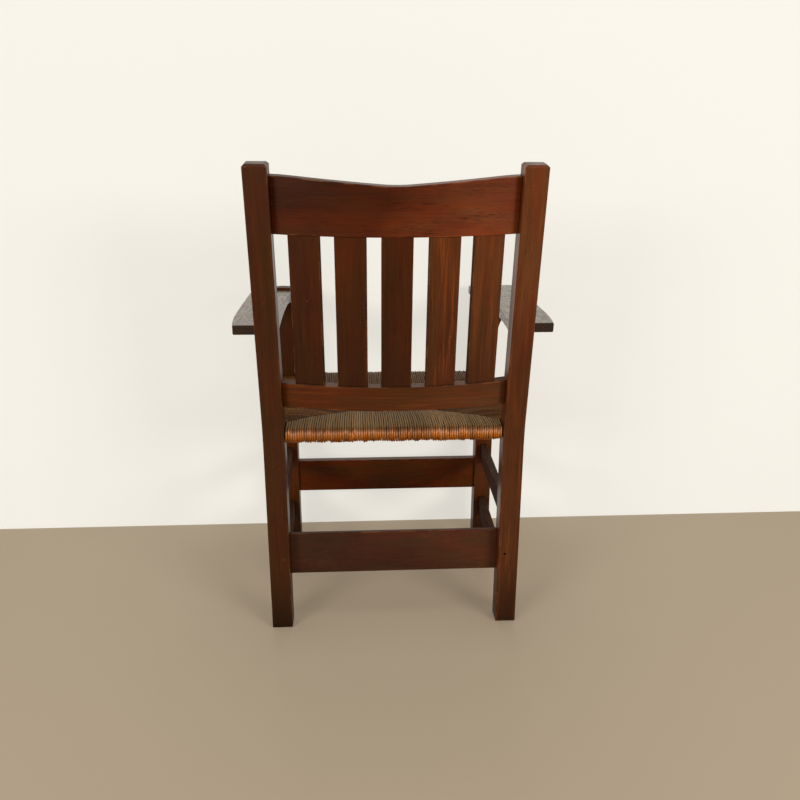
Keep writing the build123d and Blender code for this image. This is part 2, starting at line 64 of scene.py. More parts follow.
# The photograph's viewpoint.
camera_place = Vector((0.06673, 1.56059, 0.90836))
camera_yaw = radians(3.20)
camera_pitch = radians(16.69)
camera_roll = radians(0.13)
camera_lens_mm = 33.465

# Every random draw comes from here, so each run winds the same seat.
random = np.random.default_rng(7)


def colour(hex_value):
    """An sRGB hex colour as the linear colour that a shader takes."""
    channels = [int(hex_value[place:place + 2], 16) / 255 for place in (1, 3, 5)]
    linear = [c / 12.92 if c <= 0.04045 else ((c + 0.055) / 1.055) ** 2.4 for c in channels]
    return (*linear, 1.0)


def add(tree, kind, inputs=(), stops=None, **settings):
    """Adds one node, with its settings, its colour stops, and its inputs.

    The inputs are a list, in the order of the node's sockets, or a dict by socket. Each is a
    value, a socket, or a node whose first output it takes.
    """
    node = tree.nodes.new(kind)
    for name, value in settings.items():
        setattr(node, name, value)
    for key, value in inputs.items() if isinstance(inputs, dict) else enumerate(inputs):
        if isinstance(value, bpy.types.Node):
            value = value.outputs[0]
        if isinstance(value, bpy.types.NodeSocket):
            tree.links.new(value, node.inputs[key])
        else:
            node.inputs[key].default_value = value
    if stops:
        ramp = node.color_ramp
        while len(ramp.elements) < len(stops):
            ramp.elements.new(1.0)
        for element, (place, tone) in zip(ramp.elements, stops):
            element.position = place
            element.color = colour(tone)
    return node


# The colour sockets of a Mix node, which has a set of sockets for each kind of value. A Map Range
# node takes a value, the range that it comes from, and the range that it goes to.
MIX_A, MIX_B, MIX_RESULT = 6, 7, 2


def new_material(name):
    """An empty material, with its tree and its output node."""
    material = bpy.data.materials.new(name)
    material.use_nodes = True
    tree = material.node_tree
    tree.nodes.clear()
    return material, tree, add(tree, "ShaderNodeOutputMaterial")


# Colours that show on stained wood: orange streaks in the stain, dust ground into the faces that
# look up together with a painted sheen there, rubbed edges, and the bare wood in a dent.
orange_streak_tone = "#9a4c17"
dust_and_sheen_tone = "#76644c"
rubbed_tone = "#b06c3a"
bare_wood_tone = "#a88260"

# Noise in the wood: its size across and along the grain in mm, how many steps of finer detail it
# has, and a shift that sets it apart from the others. Each board is moved on by a step of its own.
# Birch's real fibres and pores are under 0.3 mm across. They are drawn coarser, so that they show.
fade_and_light_noise = (60, 120, 3, 17)
patch_noise = (70, 240, 2, 0)
streak_noise = (7, 130, 3, 5)
fibre_noise = (1.8, 42, 3, 9)
detail_roughness = 0.55
board_step = (3.1, 1.7, 2.3)

# Marks are noise that shows only above a level: the last two numbers are where one starts and
# where it is full.
grain_marks = {
    "redder stain": (30, 160, 3, 3, 0.4, 0.6),
    "orange streaks": (7, 170, 3, 21, 0.54, 0.7),
    "pores": (1.4, 20, 1, 13, 0.56, 0.66),
    "porous areas": (45, 80, 2, 15, 0.42, 0.6),
    "dusty streaks": (4, 50, 4, 50, 0.36, 0.64),
    "rubbed places": (14, 34, 3, 30, 0.5, 0.62),
}

# Scuffs in the varnish have a size of each piece's own, and are longer along the grain by this
# factor. The rest is as for the marks: their finer detail, their shift and their two levels.
scuff_stretch = 5
scuff_mark = (4, 40, 0.35, 0.65)

# How deep the stain lies follows patches, streaks and fibres by these shares, and from the
# shallowest to the deepest level of their sum.
patch_share, streak_share, fibre_share = 0.4, 0.35, 0.25
stain_levels = (0.38, 0.62)

# How much of its brightness the stain keeps where it is darkest. Toward the floor it is painted
# darker, as painted shade, up to this height. Where hands grip the crest rail it is dark, and a
# little paler below that.
floor_painted_shade = 0.3
floor_shade_height = 0.14
end_grain_shade = 0.5
sawn_edge_shade = 0.6
# In creases the stain is painted darker by occlusion, as painted shade, down to this.
crease_painted_shade = 0.3
below_grip_shade, gripped_shade = 1.05, 0.74

# How squarely a face looks along an axis to count as the board's end or side, or as its top.
squarely = (0.7, 0.95)
upward = (0.8, 0.98)

# How far creases reach, how open a place is where their painted shade is full and where it ends,
# and how open an edge is where hands start to reach it and where they reach it fully.
crease_reach = 2.5 * MM
crease_samples = 6
crease_shade_openness = (0.5, 0.85)
rubbed_openness = (0.8, 0.97)

# How wide a rubbed edge is. It shows where its rounded normal leaves the flat one.
rubbed_edge = 2.6 * MM
edge_samples = 4
edge_levels = (0.99, 0.92)

# Between its streaks, the dust and its painted sheen have this share of their full strength.
least_dust_and_sheen = 0.35

# Dents in the wood, under two millimetres across: one in some of the cells of this size.
dent_cell_mm = 26
dent_radius_mm = 0.9
dent_share = 0.7

# Polished patches of the varnish are smoother by this much, and sawn edges have hardly any gloss.
# Its relief follows the fibres and the pores, and it lies rounded over sharp edges.
gloss_variation = 0.06
sawn_roughness = 0.9
pore_relief = -0.6
grain_relief = 0.15 * MM
varnished_edge = 0.6 * MM


class Grain:
    """The grain of one board: noise that is drawn out along its fibres."""

    def __init__(self, tree, seed, axis):
        self.tree, self.seed, self.along = tree, seed, "XYZ".index(axis)
        place = add(tree, "ShaderNodeTexCoord").outputs["Object"]
        self.split = add(tree, "ShaderNodeSeparateXYZ", [place]).outputs
        self.straight = self.straighten()

    def straighten(self):
        """The place with the back's lean and the rails' bow taken out, so grain follows them."""
        x, y, z = self.split["X"], self.split["Y"], self.split["Z"]
        above_bend = add(self.tree, "ShaderNodeMath", [z, bend_height], operation="SUBTRACT")
        above_bend = add(self.tree, "ShaderNodeMath", [above_bend, 0.0], operation="MAXIMUM")
        leaned = add(self.tree, "ShaderNodeMath", [above_bend, -lean_slope, y],
                     operation="MULTIPLY_ADD")
        x_squared = add(self.tree, "ShaderNodeMath", [x, x], operation="MULTIPLY")
        bowed = add(self.tree, "ShaderNodeMath", [x_squared, rail_bow, leaned],
                    operation="MULTIPLY_ADD")
        return add(self.tree, "ShaderNodeCombineXYZ", [x, bowed, z]).outputs[0]

    def noise(self, across_mm, along_mm, detail, shift):
        """Noise whose patches have this real size across and along the grain."""
        size = [across_mm] * 3
        size[self.along] = along_mm
        spread = add(self.tree, "ShaderNodeMapping",
                     {"Vector": self.straight, "Scale": [1000 / value for value in size],
                      "Location": [self.seed * step + shift for step in board_step]})
        return add(self.tree, "ShaderNodeTexNoise",
                   {"Vector": spread, "Scale": 1.0, "Detail": detail,
                    "Roughness": detail_roughness})

    def mark(self, kind, without=0.0, full=1.0):
        """One kind of mark, as a value that goes from without it to where it is full."""
        *pattern, start_level, full_level = grain_marks[kind]
        return add(self.tree, "ShaderNodeMapRange",
                   [self.noise(*pattern), start_level, full_level, without, full])

    def scuffs(self, size_mm, polished, dull):
        """The varnish's roughness, from polished to dull in patches of this size."""
        detail, shift, start_level, full_level = scuff_mark
        patches = self.noise(size_mm, size_mm * scuff_stretch, detail, shift)
        return add(self.tree, "ShaderNodeMapRange",
                   [patches, start_level, full_level, polished, dull])


def stain_tone(tree, grain, tones, fade_and_light, glow):
    """The colour of the stain, before its depth."""
    redness = grain.mark("redder stain")
    stain = add(tree, "ShaderNodeMix",
                {0: redness, MIX_A: colour(tones[0]), MIX_B: colour(tones[1])},
                data_type="RGBA").outputs[MIX_RESULT]
    # Where a piece changes tone along an axis. Toward the sitter's right the paler tone is painted
    # light as well as lost stain.
    if fade_and_light:
        axis, change_start, change_end, browner, redder = fade_and_light
        change_length = change_start - change_end
        drift = add(tree, "ShaderNodeMath",
                    [grain.noise(*fade_and_light_noise), change_length, grain.split[axis]],
                    operation="MULTIPLY_ADD")
        share = add(tree, "ShaderNodeMapRange",
                    [drift, change_start + change_length / 2, change_end + change_length / 2])
        fade_and_light_tone = add(tree, "ShaderNodeMix",
                       {0: redness, MIX_A: colour(browner), MIX_B: colour(redder)},
                       data_type="RGBA").outputs[MIX_RESULT]
        stain = add(tree, "ShaderNodeMix", {0: share, MIX_A: stain, MIX_B: fade_and_light_tone},
                    data_type="RGBA").outputs[MIX_RESULT]
    orange = grain.mark("orange streaks", full=glow)
    return add(tree, "ShaderNodeMix",
               {0: orange, MIX_A: stain, MIX_B: colour(orange_streak_tone)},
               data_type="RGBA").outputs[MIX_RESULT]


def stained_birch(name, seed, grain_axis, tones, fade_and_light=None, gripped=None, sawn=None,
                  contrast=0.2, flecks=0.25, glow=0.05, wear=0.6, dust_and_sheen_amount=0.2,
                  gloss=0.36, scuffs=0.1, scuff_mm=40, sheen=0.16):
    """Birch stained to a mahogany red-brown, under old satin varnish.

    The stain lies unevenly in long soft streaks along the grain, between a browner and a redder
    tone, with short dark pores. Edges that hands and feet rub are worn to an orange tan, creases
    get a painted shade, and the wood is painted darker toward the floor as painted shade.

    grain_axis is the axis of the fibres, and tones are the browner and the redder tone.
    fade_and_light is where a piece changes tone along an axis: that axis, where the change starts
    and ends, and its two tones there. Up the back it is stain that has been lost; on the crest
    rail, the lower back rail and the rear stretcher it is lost stain and also painted light from
    the sitter's right. gripped is where hands have left it dark: the heights between which that
    starts and is full. sawn is the axis across which the board was cut to width, where it is dark
    and has hardly any gloss.

    contrast is how far the stain's depth varies, flecks how dark its pores are, glow the share of
    orange streaks, wear how bare the rubbed edges are, and dust_and_sheen_amount how far the faces
    that look up are worn to a pale grey-brown, which is dust and also a painted sheen. gloss is
    the varnish's roughness, scuffs how much duller it is in patches of scuff_mm, and sheen the
    strength of its reflection.
    """
    material, tree, output = new_material(name)
    grain = Grain(tree, seed, grain_axis)
    height_place = grain.split["Z"]
    stain = stain_tone(tree, grain, tones, fade_and_light, glow)

    # How deep the stain is at each place, from broad patches down to single fibres.
    depth = add(tree, "ShaderNodeMath", [grain.noise(*patch_noise), patch_share],
                operation="MULTIPLY")
    depth = add(tree, "ShaderNodeMath", [grain.noise(*streak_noise), streak_share, depth],
                operation="MULTIPLY_ADD")
    fibres = grain.noise(*fibre_noise)
    depth = add(tree, "ShaderNodeMath", [fibres, fibre_share, depth], operation="MULTIPLY_ADD")
    depth = add(tree, "ShaderNodeMapRange", [depth, *stain_levels, 1 - contrast, 1 + contrast])

    # What darkens it: pores, painted shade toward the floor, grime where hands grip, end grain and
    # sawn edges, which drink more stain, and painted shade in the creases.
    pores = add(tree, "ShaderNodeMath",
                [grain.mark("pores"), grain.mark("porous areas", full=flecks)],
                operation="MULTIPLY")
    unpored = add(tree, "ShaderNodeMath", [1.0, pores], operation="SUBTRACT")
    # Painted shade: darker toward the floor.
    floor_shade = add(tree, "ShaderNodeMapRange",
                     [height_place, 0.0, floor_shade_height, floor_painted_shade, 1.0])
    shades = [unpored, floor_shade]
    if gripped:
        shades.append(add(tree, "ShaderNodeMapRange",
                          [height_place, *gripped, below_grip_shade, gripped_shade]))
    face = add(tree, "ShaderNodeNewGeometry").outputs["Normal"]
    facing = add(tree, "ShaderNodeSeparateXYZ", [face]).outputs
    endness = add(tree, "ShaderNodeMath", [facing[grain_axis]], operation="ABSOLUTE")
    shades.append(add(tree, "ShaderNodeMapRange", [endness, *squarely, 1.0, end_grain_shade]))
    if sawn:
        sawn_face = add(tree, "ShaderNodeMath", [facing[sawn]], operation="ABSOLUTE")
        sawn_face = add(tree, "ShaderNodeMapRange", [sawn_face, *squarely])
        shades.append(add(tree, "ShaderNodeMapRange",
                          [sawn_face, 0.0, 1.0, 1.0, sawn_edge_shade]))
    # Painted shade: the creases darken with occlusion.
    openness = add(tree, "ShaderNodeAmbientOcclusion", {"Distance": crease_reach},
                   samples=crease_samples).outputs["AO"]
    shades.append(add(tree, "ShaderNodeMapRange",
                      [openness, *crease_shade_openness, crease_painted_shade, 1.0]))
    for shade in shades:
        depth = add(tree, "ShaderNodeMath", [depth, shade], operation="MULTIPLY")
    skin = add(tree, "ShaderNodeVectorMath", {0: stain, "Scale": depth},
               operation="SCALE").outputs[0]

    # Faces that look up are worn and dusted in fine streaks, and painted paler there as a painted
    # sheen.
    looks_up = add(tree, "ShaderNodeMapRange", [facing["Z"], *upward])
    streaks = grain.mark("dusty streaks", dust_and_sheen_amount * least_dust_and_sheen, dust_and_sheen_amount)
    dust_and_sheen = add(tree, "ShaderNodeMath", [looks_up, streaks], operation="MULTIPLY")

    # Edges are rubbed in patches, where hands and feet can reach them.
    rounded = add(tree, "ShaderNodeBevel", {"Radius": rubbed_edge}, samples=edge_samples)
    turned = add(tree, "ShaderNodeVectorMath", [face, rounded],
                 operation="DOT_PRODUCT").outputs["Value"]
    edge = add(tree, "ShaderNodeMapRange", [turned, *edge_levels])
    rubbed = add(tree, "ShaderNodeMath", [edge, grain.mark("rubbed places", full=wear)],
                 operation="MULTIPLY")
    reachable = add(tree, "ShaderNodeMapRange", [openness, *rubbed_openness])
    rubbed = add(tree, "ShaderNodeMath", [rubbed, reachable], operation="MULTIPLY")

    # Small dents, about a hand apart, show bare wood.
    dents = add(tree, "ShaderNodeTexVoronoi",
                {"Vector": grain.straight, "Scale": 1000 / dent_cell_mm, "Randomness": 1.0})
    dent_edge = dent_radius_mm / dent_cell_mm
    bare = add(tree, "ShaderNodeMapRange", [dents, dent_edge, dent_edge / 2, 0.0, dent_share])

    for share, tone in ((dust_and_sheen, dust_and_sheen_tone), (rubbed, rubbed_tone), (bare, bare_wood_tone)):
        skin = add(tree, "ShaderNodeMix", {0: share, MIX_A: skin, MIX_B: colour(tone)},
                   data_type="RGBA").outputs[MIX_RESULT]

    roughness = grain.scuffs(scuff_mm, gloss - gloss_variation, gloss + scuffs)
    if sawn:
        roughness = add(tree, "ShaderNodeMix", {0: sawn_face, 2: roughness, 3: sawn_roughness})
    height = add(tree, "ShaderNodeMath", [pores, pore_relief, fibres], operation="MULTIPLY_ADD")
    eased = add(tree, "ShaderNodeBevel", {"Radius": varnished_edge}, samples=edge_samples)
    bump = add(tree, "ShaderNodeBump",
               {"Height": height, "Strength": 0.3, "Distance": grain_relief, "Normal": eased})
    varnished = add(tree, "ShaderNodeBsdfPrincipled",
                    {"Base Color": skin, "Roughness": roughness, "IOR": 1.5,
                     "Specular IOR Level": sheen, "Normal": bump})
    tree.links.new(varnished.outputs[0], output.inputs["Surface"])
    return material


def dull_maple():
    """Plain planed maple with little finish, for dowels and the rails under the rush.

    It is pale and dull, with faint streaks, and darkened by handling.
    """
    streak_mm = (25, 4, 4)
    streak_shift = (4, 4, 4)
    material, tree, output = new_material("dull_maple")
    place = add(tree, "ShaderNodeTexCoord").outputs["Object"]
    spread = add(tree, "ShaderNodeMapping",
                 {"Vector": place, "Scale": [1000 / size for size in streak_mm],
                  "Location": streak_shift})
    noise = add(tree, "ShaderNodeTexNoise", {"Vector": spread, "Scale": 1.0, "Detail": 4.0})
    tint = add(tree, "ShaderNodeValToRGB", [noise], stops=[(0.3, "#3a2413"), (0.7, "#5a3a20")])
    bump = add(tree, "ShaderNodeBump", {"Height": noise, "Strength": 0.3, "Distance": 0.2 * MM})
    planed = add(tree, "ShaderNodeBsdfPrincipled",
                 {"Base Color": tint, "Roughness": 0.7, "Specular IOR Level": 0.15,
                  "Normal": bump})
    tree.links.new(planed.outputs[0], output.inputs["Surface"])
    return material


# A rush cord's colours, from the top of the rail to its lower edge, with a painted highlight where
# it turns over the rail and painted shade darkening toward its lower edge, and where it is rubbed.
lit_rush_tones = [(0.0, "#6a411a"), (0.06, "#603c20"), (0.22, "#8a5a3a"), (0.38, "#c0855c"),
              (0.54, "#b06a2e"), (0.7, "#985418"), (0.84, "#733c12"), (0.98, "#3a200d")]
dirty_rush_tone = "#86673f"

# The fibres' own space has a cord's section at a size of 1, and this length for each step along
# the cord. Real rush fibres are some tenths of a millimetre across. They are drawn coarser, at
# this length along the cord, so that they show.
fibre_space_mm = 20
rush_fibre_mm = 12.5

# The levels of the fibres' noise and the cord's own tint, taken together, and the brightness that
# they give.
fibre_spread = 1.1
rush_levels = (0.7, 1.4)
rush_depths = (0.7, 1.75)

# Painted shade between two cords leaves this much of their brightness on top, and this much from
# further round the rail. It starts this far out from a cord's crown. Painted shade between the two
# strands of a cord is the same all over.
groove_shade_turns = (0.06, 0.3)
groove_painted_shades = (0.18, 0.5)
cheek_levels = (0.5, 1.0)
strand_levels = (0.7, 1.0)
strand_shade = 0.5

# The shellac's roughness, where it is whole and where it is rubbed off.
shellac_roughness = (0.45, 0.8)


def twisted_rush():
    """Bulrush leaves twisted by hand into cord, sized with shellac and never painted.

    On top it is rubbed and dirty to a dull grey olive. Over the rail it turns from a dark brown to
    a tan with a painted highlight, and then to its own orange straw, which is painted darker
    toward its lower edge as painted shade. Each cord is a little different, its fibres wind round
    it, and painted shade lies dark between its two strands and between it and the next cord. The
    colours follow the attribute turn, which runs from 0 on top of the rail to 1 at its lower edge,
    and cheek, which runs from 0 on a cord's crown to 1 where it touches its neighbour.
    """
    material, tree, output = new_material("twisted_rush_cord")
    fibre_place = add(tree, "ShaderNodeAttribute", attribute_name="fibre").outputs["Vector"]
    wear, turn, tint, cheek = [
        add(tree, "ShaderNodeAttribute", attribute_name=label).outputs["Fac"]
        for label in ("wear", "turn", "tint", "cheek")]
    fibres = add(tree, "ShaderNodeTexNoise",
                 {"Vector": fibre_place, "Scale": fibre_space_mm / rush_fibre_mm,
                  "Detail": 4.0, "Roughness": 0.6})
    # Its tone along the turn, with a painted highlight and painted shade.
    own = add(tree, "ShaderNodeValToRGB", [turn], stops=lit_rush_tones)
    dirty = add(tree, "ShaderNodeMix", {0: wear, MIX_A: own, MIX_B: colour(dirty_rush_tone)},
                data_type="RGBA").outputs[MIX_RESULT]
    depth = add(tree, "ShaderNodeMath", [fibres, fibre_spread, tint], operation="MULTIPLY_ADD")
    depth = add(tree, "ShaderNodeMapRange", [depth, *rush_levels, *rush_depths])
    # Painted shade in the grooves between cords and between a cord's two strands.
    groove_depth_shade = add(tree, "ShaderNodeMapRange", [turn, *groove_shade_turns, *groove_painted_shades])
    groove = add(tree, "ShaderNodeMapRange", [cheek, *cheek_levels, 1.0, groove_depth_shade])
    strand_place = add(tree, "ShaderNodeSeparateXYZ", [fibre_place]).outputs["Y"]
    strand_place = add(tree, "ShaderNodeMath", [strand_place], operation="ABSOLUTE")
    between = add(tree, "ShaderNodeMapRange", [strand_place, *strand_levels, 1.0, strand_shade])
    for shade in (groove, between):
        depth = add(tree, "ShaderNodeMath", [depth, shade], operation="MULTIPLY")
    tone = add(tree, "ShaderNodeVectorMath", {0: dirty, "Scale": depth}, operation="SCALE")
    roughness = add(tree, "ShaderNodeMapRange", [wear, 0.0, 1.0, *shellac_roughness])
    bump = add(tree, "ShaderNodeBump", {"Height": fibres, "Strength": 0.5, "Distance": 0.4 * MM})
    shellacked = add(tree, "ShaderNodeBsdfPrincipled",
                     {"Base Color": tone, "Roughness": roughness, "IOR": 1.45,
                      "Specular IOR Level": 0.1, "Normal": bump})
    tree.links.new(shellacked.outputs[0], output.inputs["Surface"])
    return material


def packed_straw():
    """Loose rush and straw packed between the layers of cord, dark and dull in the gaps."""
    straw_mm = 6
    material, tree, output = new_material("packed_straw")
    place = add(tree, "ShaderNodeTexCoord").outputs["Object"]
    noise = add(tree, "ShaderNodeTexNoise",
                {"Vector": place, "Scale": 1000 / straw_mm, "Detail": 5.0})
    tint = add(tree, "ShaderNodeValToRGB", [noise], stops=[(0.35, "#1a110a"), (0.7, "#4a3520")])
    loose = add(tree, "ShaderNodeBsdfPrincipled", {"Base Color": tint, "Roughness": 0.9})
    tree.links.new(loose.outputs[0], output.inputs["Surface"])
    return material


# The browner and the redder tone of each kind of stained piece.
left_tones = ("#40220a", "#441f0a")
# The right back post's tones, and the pale slats' toward the sitter's right, are paler partly as
# their own stain and partly as painted light from that side.
right_tones = ("#4e2a11", "#54280f")
slat_tones = ("#371c07", "#3b1a08")
front_post_tones = ("#4d290a", "#52260a")
pale_slat_tones = ("#47250c", "#4b220b")
crest_tones = ("#471f08", "#4f1d04")
rail_tones = ("#50290b", "#552508")
rear_tones = ("#3b2313", "#412013")
front_tones = ("#4b2404", "#561f00")
side_tones = ("#36200f", "#3e1c0b")
arm_tones = ("#3a2512", "#422711")

# Where the stain is paler: up the back, where it is lost, and toward the sitter's right, where it
# is lost and also painted paler as painted light from that side.
faded_right_post = ("Z", 0.4, 0.82, "#633617", "#6a3012")
faded_slat = ("Z", 0.52, 0.82, "#46230b", "#4d2008")
faded_pale_slat = ("Z", 0.5, 0.76, "#593010", "#602d0b")
crest_fade_and_light = ("X", 0.02, -0.12, "#713919", "#793312")
rail_fade_and_light = ("X", 0.0, -0.16, "#573218", "#5e2e12")
rear_fade_and_light = ("X", 0.12, -0.14, "#4a2c18", "#512817")

# The peg on the sitter's right has gone nearly black, and the other one can hardly be seen.
peg_tones = ("#502b14", "#522a14")
faded_peg = ("X", 0.05, -0.05, "#080402", "#0c0604")

# What pieces of one kind share.
dark_slat = {"fade_and_light": faded_slat, "sawn": "X", "sheen": 0.12}
pale_slat = {"fade_and_light": faded_pale_slat, "sawn": "X", "contrast": 0.3}
# The arms' tops get much dust and painted sheen.
worn_arm = {"dust_and_sheen_amount": 0.55, "gloss": 0.22, "scuffs": 0.14, "scuff_mm": 6, "sheen": 0.5}
dull_side = {"gloss": 0.72, "sheen": 0.08}

# Each stained piece: the axis of its grain, its tones, and what sets its finish apart.
finishes = {
    "back_post_left": ("Z", left_tones, {"flecks": 0.2}),
    "back_post_right": ("Z", right_tones, {"fade_and_light": faded_right_post, "contrast": 0.3,
                                           "glow": 0.25, "wear": 0.65}),
    "front_post_left": ("Z", front_post_tones, {}),
    "front_post_right": ("Z", front_post_tones, {}),
    "crest_rail": ("X", crest_tones, {"fade_and_light": crest_fade_and_light, "gripped": (0.815, 0.875),
                                      "contrast": 0.25, "flecks": 0.55}),
    "lower_back_rail": ("X", rail_tones, {"fade_and_light": rail_fade_and_light, "contrast": 0.25, "glow": 0.2}),
    "back_slat_1": ("Z", slat_tones, dark_slat),
    "back_slat_2": ("Z", slat_tones, dark_slat),
    "back_slat_3": ("Z", slat_tones, dark_slat),
    "back_slat_4": ("Z", pale_slat_tones, {**pale_slat, "glow": 0.5}),
    "back_slat_5": ("Z", pale_slat_tones, {**pale_slat, "glow": 0.2}),
    "arm_left": ("Y", arm_tones, worn_arm),
    "arm_right": ("Y", arm_tones, worn_arm),
    "corbel_left": ("Z", front_post_tones, {}),
    "corbel_right": ("Z", front_post_tones, {}),
    "front_stretcher": ("X", front_tones, {"contrast": 0.3}),
    "rear_stretcher": ("X", rear_tones, {"fade_and_light": rear_fade_and_light}),
    "side_stretcher_upper_left": ("Y", side_tones, dull_side),
    "side_stretcher_upper_right": ("Y", side_tones, dull_side),
    "side_stretcher_lower_left": ("Y", side_tones, dull_side),
    "side_stretcher_lower_right": ("Y", side_tones, dull_side),
}


def dress(name, material):
    """Puts one material on a node of the chair's frame."""
    mesh = nodes[name].data
    mesh.materials.clear()
    mesh.materials.append(material)


for seed, (name, (grain_axis, tones, changes)) in enumerate(finishes.items(), start=1):
    dress(name, stained_birch("stained_birch_" + name, seed, grain_axis, tones, **changes))

maple = dull_maple()
for name in ("seat_rail_front", "seat_rail_rear", "seat_rail_left", "seat_rail_right",
             "corbel_dowels"):
    dress(name, maple)
dress("stretcher_pegs", stained_birch("stained_birch_pegs", len(finishes) + 1, "X", peg_tones,
                                      fade_and_light=faded_peg, wear=0.0, sheen=0.06))
dress("seat_stuffing", packed_straw())

# Rush cord. It is wound a little closer than it is thick, so the cords press on each other. Its
# two strands make it a little oval, and the oval turns once in each pitch. Each cord's fibres are
# shifted by this many times its tint, so that no two cords are alike.
cord_spacing = 4.6 * MM
cord_radius = 2.6 * MM
cord_squeeze = 0.87
cord_sides = 8
twist_pitch = 18 * MM
strand_bulge = 0.1
fibre_shift = 50

# How finely a cord's line and its rings are drawn. Under the seat the rings stand wider apart.
top_points = 40
corner_points = 9
ring_spacing = 3.0 * MM
under_ring_spacing = 7.0 * MM

# The seat's form: the bare ends of the rails, the round of a cord over their outer corners, the
# sag of the top, the belly underneath, and the dive of each cord into the seam.
rail_end_bare = 1.5 * MM
outer_corner = 9.0 * MM
seat_sag = 22 * MM
seat_belly = 3 * MM
seam_dive = 5.5 * MM
seam_dive_length = 9 * MM

# How cords differ, being wound by hand: how proud they stand, how thick they are, and how far
# their colour has turned. Waves run along them, each with a size and a length for one radian.
outset_spread_mm = 0.35
thickness_spread = 0.04
turn_spread = 0.035
rise_wave = (0.3 * MM, 31 * MM)
sway_waves = ((0.22 * MM, 17 * MM), (0.2 * MM, 43 * MM))
thickness_wave = (0.05, 11 * MM)

# How slack cords hang below the rail, in pairs and each by itself, with the most that they may,
# and how far in from the rail that fades out.
slack_spread_mm = 1.3
pair_slack_spread_mm = 0.3
most_slack = 2.4 * MM
slack_reach = 16 * MM

# Lines of the seat in plan, from the rails and posts that the cord is wound between.
rail_half = (rear_rail_high.y - rear_rail_low.y) / 2
over_rail = seat_top - rear_rail_high.z
seat_under = seat_top - (rear_rail_high.z - rear_rail_low.z) - 2 * over_rail
wrap_reach = rail_half + over_rail
rear_rail_y = (rear_rail_low.y + rear_rail_high.y) / 2
front_rail_y = (front_rail_low.y + front_rail_high.y) / 2
post_back_y = back_post_low.y
post_front_y = front_post_high.y
side_back_x = (back_post_low.x + back_post_high.x) / 2
side_front_x = (front_post_low.x + front_post_high.x) / 2
side_rate = (side_front_x - side_back_x) / (post_front_y - post_back_y)
pad_rear_y = rear_rail_y - rail_half
pad_front_y = front_rail_y + rail_half
middle_y = (pad_rear_y + pad_front_y) / 2
half_depth = (pad_rear_y - pad_front_y) / 2


def side_rail_x(y):
    """The middle of the left seat rail at this place along it."""
    return side_back_x + (y - post_back_y) * side_rate


pad_rear_x = side_rail_x(pad_rear_y) - rail_half
pad_front_x = side_rail_x(pad_front_y) - rail_half
middle_x = pad_rear_x - half_depth

# Where a cord starts to turn down over its rail, out from the rail's middle, and how soon along
# the turn it loses the grey of its top. Underneath, it has the colour of this share of the turn.
shoulder_start = 10.0 * MM
shoulder_turn = 0.12
under_turn = 0.7

# Toward the seams the top is painted browner and darker, as painted shade: its rubbing is taken
# down by this share, from here inward.
inner_shade = 0.85
inner_start = 70 * MM
inner_reach = 110 * MM

# Near the posts a cord is rubbed less, by this share of its rubbing at the post itself, and the
# side cords are also cleaner, by up to this much.
post_reach = 50 * MM
rubbing_by_post = 0.55
clean_by_post = 0.3

# The rush is painted a little paler toward the sitter's right, as painted light from that side, by
# this much for each metre.
right_painted_light = 0.35

# Cords differ in tint by this much. Neighbours come from the same bundle of leaves, so they share
# a part of it.
cross_variety = 0.11
side_variety = 0.36
cord_kinship = 0.6

# The side cords are painted a little darker, as painted shade, and hardly rubbed.
side_painted_shade = 0.12
side_rubbing = 0.05


def ease(share):
    """A smooth step from 0 to 1."""
    share = np.clip(share, 0, 1)
    return (1 - np.cos(pi * share)) / 2


def wave(places, size, length, phase):
    """A wave along a cord."""
    return size * np.sin(places / length + phase)


def cord_line(reach, outset, slack):
    """One cord in its own upright plane, from the seam, over and round the rail, and back below.

    reach is the way in from the rail's middle to the seam, outset how far the cord stands proud,
    and slack how far it hangs below the rail. It gives places out from the rail's middle, and
    heights. At the seam the cord dives, from two thirds of the dive's length before it to a third
    past it.
    """
    high = seat_top - cord_radius
    low = seat_under + cord_radius
    outside = wrap_reach - cord_radius + outset
    round_size = outer_corner - cord_radius
    inward = np.linspace(reach + seam_dive_length / 3, rail_half, top_points)
    depth = ease((inward - rail_half) / half_depth)
    into_seam = (inward - reach + seam_dive_length * 2 / 3) / seam_dive_length
    dive = seam_dive * np.clip(into_seam, 0, 1) ** 2
    hang = slack * (1 - ease((inward - rail_half) / slack_reach))
    top_heights = high - seat_sag * depth - dive
    under_heights = low - seat_belly * depth + dive - hang
    turn = np.linspace(0, pi / 2, corner_points)
    upper_out = outside - round_size + round_size * np.sin(turn)
    upper_high = high - round_size + round_size * np.cos(turn)
    lower_high = low + round_size - (round_size + slack) * np.cos(turn[::-1])
    out = np.concatenate([-inward, upper_out, upper_out[::-1], -inward[::-1]])
    heights = np.concatenate([top_heights, upper_high, lower_high, under_heights[::-1]])
    return out, heights


def ring_places(whole):
    """Where the rings of a cord stand along its whole length."""
    under_start = whole / 2 + wrap_reach
    return np.concatenate([
        np.arange(0, under_start, ring_spacing),
        np.arange(under_start, whole - under_ring_spacing / 2, under_ring_spacing),
        [whole],
    ])


def cord_wear_and_shade(ring_out, ring_high, past_middle, rubbed):
    """How rubbed a cord is, with painted shade toward the seams, and how far round the rail its
    colour has turned, at each point.
    """
    outward = ease((ring_out - shoulder_start) / (wrap_reach - shoulder_start))
    fallen = np.clip((seat_top - ring_high) / (seat_top - seat_under), 0, 1)
    below = ease(past_middle / rail_half) * (1 - outward)
    turn = fallen * outward + under_turn * below * (1 - outward)
    seamward_shade = 1 - inner_shade * ease((-ring_out - inner_start) / inner_reach)
    wear = rubbed * (1 - ease(turn / shoulder_turn)) * seamward_shade
    return wear, turn + random.normal(0, turn_spread)


